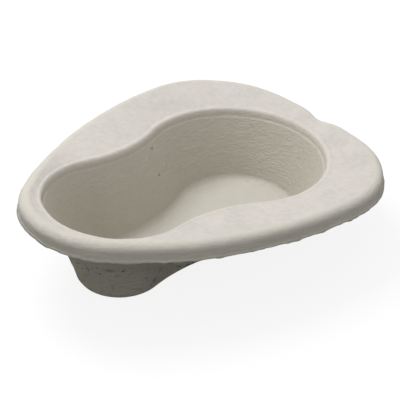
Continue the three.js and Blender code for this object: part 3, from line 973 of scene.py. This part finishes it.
class BEDPAN_OT_burrs(bpy.types.Operator):
    """Scatter torn crumbs of pulp along the trimmed edge of the skirt"""

    bl_idname = "bedpan.burrs"
    bl_label = "Trim Burrs"

    def execute(self, context):
        scene = context.scene
        relief = scene.bedpan_relief
        material = shared_pulp(scene)
        values = {
            "Spacing": relief.crumb_spacing, "Crumb Size": relief.crumb_size,
            "Seed": relief.seed, "Material": material,
        }
        shell = bpy.data.objects.get("pulp_shell")
        if shell is None:
            raise RuntimeError("The shell has to be made before its burrs")
        burrs = grow("trim_burrs", trim_path(shell), burr_tree(), values)
        if not burrs.data.polygons:
            raise RuntimeError("No burrs were made")
        finish_piece(burrs)
        return {"FINISHED"}


# The studio floor lies a hair below the pan, so that no face of the pan shares its plane
STUDIO_HALF = 24.0
STUDIO_DROP = 0.2 * MM
SHADOW_CATCH = 0.15
FLOOR_GLOW = 0.87
DOME_COLOUR = (1.0, 0.99, 0.97)
KEY_PLACE = (-0.15, 0.95, 1.9)
KEY_AIM = (0, 0, 0.05)
KEY_SIZE = 1.0
CAMERA_REACH = 100


def seen_directly(board):
    """1 for what the eye sees, straight, mirrored or through something; 0 for light that bounces."""
    path = board.tree.nodes.new("ShaderNodeLightPath")
    seen = Flow(board, path.outputs["Is Camera Ray"]).largest(Flow(board, path.outputs["Is Glossy Ray"]))
    return seen.largest(Flow(board, path.outputs["Is Transmission Ray"]))


def floor_material(shade):
    """Pale floor: white with a faint shadow to the eye, and dimmer for the light it throws back."""
    material = bpy.data.materials.new("studio_floor")
    material.use_nodes = True
    material.node_tree.nodes.clear()
    board = Board(material.node_tree)
    seen = seen_directly(board)
    dim = board.node("ShaderNodeBsdfDiffuse", {}, {"Color": (shade, shade, shade)})
    pale = board.node("ShaderNodeBsdfDiffuse", {}, {"Color": (SHADOW_CATCH, SHADOW_CATCH, SHADOW_CATCH)})
    glow = board.node("ShaderNodeEmission", {}, {"Color": (1, 1, 1), "Strength": FLOOR_GLOW})
    bright = board.node("ShaderNodeAddShader", {}, {0: pale, 1: glow})
    mixed = board.node("ShaderNodeMixShader", {}, {0: seen, 1: dim, 2: bright})
    leave = board.tree.nodes.new("ShaderNodeOutputMaterial")
    board.tree.links.new(mixed.socket, leave.inputs["Surface"])
    return material


def light_world(strength):
    """All-round light, seen as white."""
    world = bpy.data.worlds.new("studio_dome")
    world.use_nodes = True
    world.node_tree.nodes.clear()
    board = Board(world.node_tree)
    seen = seen_directly(board)
    lit = board.node("ShaderNodeBackground", {}, {"Color": DOME_COLOUR, "Strength": strength})
    white = board.node("ShaderNodeBackground", {}, {"Color": (1, 1, 1), "Strength": 1.0})
    mixed = board.node("ShaderNodeMixShader", {}, {0: seen, 1: lit, 2: white})
    leave = board.tree.nodes.new("ShaderNodeOutputWorld")
    board.tree.links.new(mixed.socket, leave.inputs["Surface"])
    bpy.context.scene.world = world


def hang_lamp(name, place, aim, size, power):
    lamp = bpy.data.lights.new(name, "AREA")
    lamp.shape = "DISK"
    lamp.size = size
    lamp.energy = power
    holder = bpy.data.objects.new(name, lamp)
    holder.location = place
    holder.rotation_euler = (Vector(aim) - Vector(place)).to_track_quat("-Z", "Y").to_euler()
    bpy.context.scene.collection.objects.link(holder)


def set_camera(studio):
    azimuth, elevation, roll = studio.azimuth, studio.elevation, studio.roll
    ahead = Vector(
        (
            -math.sin(azimuth) * math.cos(elevation),
            math.cos(azimuth) * math.cos(elevation),
            -math.sin(elevation),
        )
    )
    right = Vector((math.cos(azimuth), math.sin(azimuth), 0))
    up = right.cross(ahead)
    tilted_right = math.cos(roll) * right + math.sin(roll) * up
    tilted_up = -math.sin(roll) * right + math.cos(roll) * up
    place = Vector((studio.aim_x, studio.aim_y, 0)) - ahead * studio.distance
    camera = bpy.data.cameras.new("studio_camera")
    camera.sensor_width = 36
    camera.lens = studio.lens
    camera.clip_end = CAMERA_REACH
    holder = bpy.data.objects.new("studio_camera", camera)
    turn = Matrix((tilted_right, tilted_up, -ahead)).transposed()
    holder.matrix_world = Matrix.Translation(place) @ turn.to_4x4()
    bpy.context.scene.collection.objects.link(holder)
    bpy.context.scene.camera = holder


class BEDPAN_OT_stage(bpy.types.Operator):
    """Set up the floor, the light and the camera"""

    bl_idname = "bedpan.stage"
    bl_label = "Studio"

    def execute(self, context):
        studio = context.scene.bedpan_studio
        mesh = bpy.data.meshes.new("studio_floor")
        half = STUDIO_HALF
        square = ((-half, -half), (half, -half), (half, half), (-half, half))
        corners = [(x, y, -STUDIO_DROP) for x, y in square]
        mesh.from_pydata(corners, [], [(0, 1, 2, 3)])
        mesh.materials.append(floor_material(studio.floor_shade))
        floor = bpy.data.objects.new("studio_floor", mesh)
        context.scene.collection.objects.link(floor)
        light_world(studio.dome)
        hang_lamp("key_lamp", KEY_PLACE, KEY_AIM, KEY_SIZE, studio.key)
        set_camera(studio)
        context.scene.view_settings.view_transform = "Standard"
        return {"FINISHED"}


class BEDPAN_PT_panel(bpy.types.Panel):
    """Sidebar panel with the sizes, the finish and the buttons"""

    bl_idname = "BEDPAN_PT_panel"
    bl_label = "Moulded Pulp Bedpan"
    bl_space_type = "VIEW_3D"
    bl_region_type = "UI"
    bl_category = "Bedpan"

    def draw(self, context):
        layout = self.layout
        groups = (
            ("Shape", context.scene.bedpan_shape, "bedpan.shell"),
            ("Relief", context.scene.bedpan_relief, "bedpan.burrs"),
            ("Finish", context.scene.bedpan_finish, None),
            ("Studio", context.scene.bedpan_studio, "bedpan.stage"),
        )
        for title, group, operator in groups:
            box = layout.box()
            box.label(text=title)
            for key in group.bl_rna.properties.keys():
                if key not in {"rna_type", "name"}:
                    box.prop(group, key)
            if operator:
                box.operator(operator)


CLASSES = (
    PanShape, PulpRelief, PulpFinish, StudioSetup,
    BEDPAN_OT_shell, BEDPAN_OT_burrs, BEDPAN_OT_stage, BEDPAN_PT_panel,
)


def register():
    for each in CLASSES:
        bpy.utils.register_class(each)
    bpy.types.Scene.bedpan_shape = PointerProperty(type=PanShape)
    bpy.types.Scene.bedpan_relief = PointerProperty(type=PulpRelief)
    bpy.types.Scene.bedpan_finish = PointerProperty(type=PulpFinish)
    bpy.types.Scene.bedpan_studio = PointerProperty(type=StudioSetup)


def unregister():
    del bpy.types.Scene.bedpan_studio
    del bpy.types.Scene.bedpan_finish
    del bpy.types.Scene.bedpan_relief
    del bpy.types.Scene.bedpan_shape
    for each in reversed(CLASSES):
        bpy.utils.unregister_class(each)


def main():
    register()
    bpy.ops.bedpan.stage()
    bpy.ops.bedpan.shell()
    bpy.ops.bedpan.burrs()


if __name__ == "__main__":
    main()
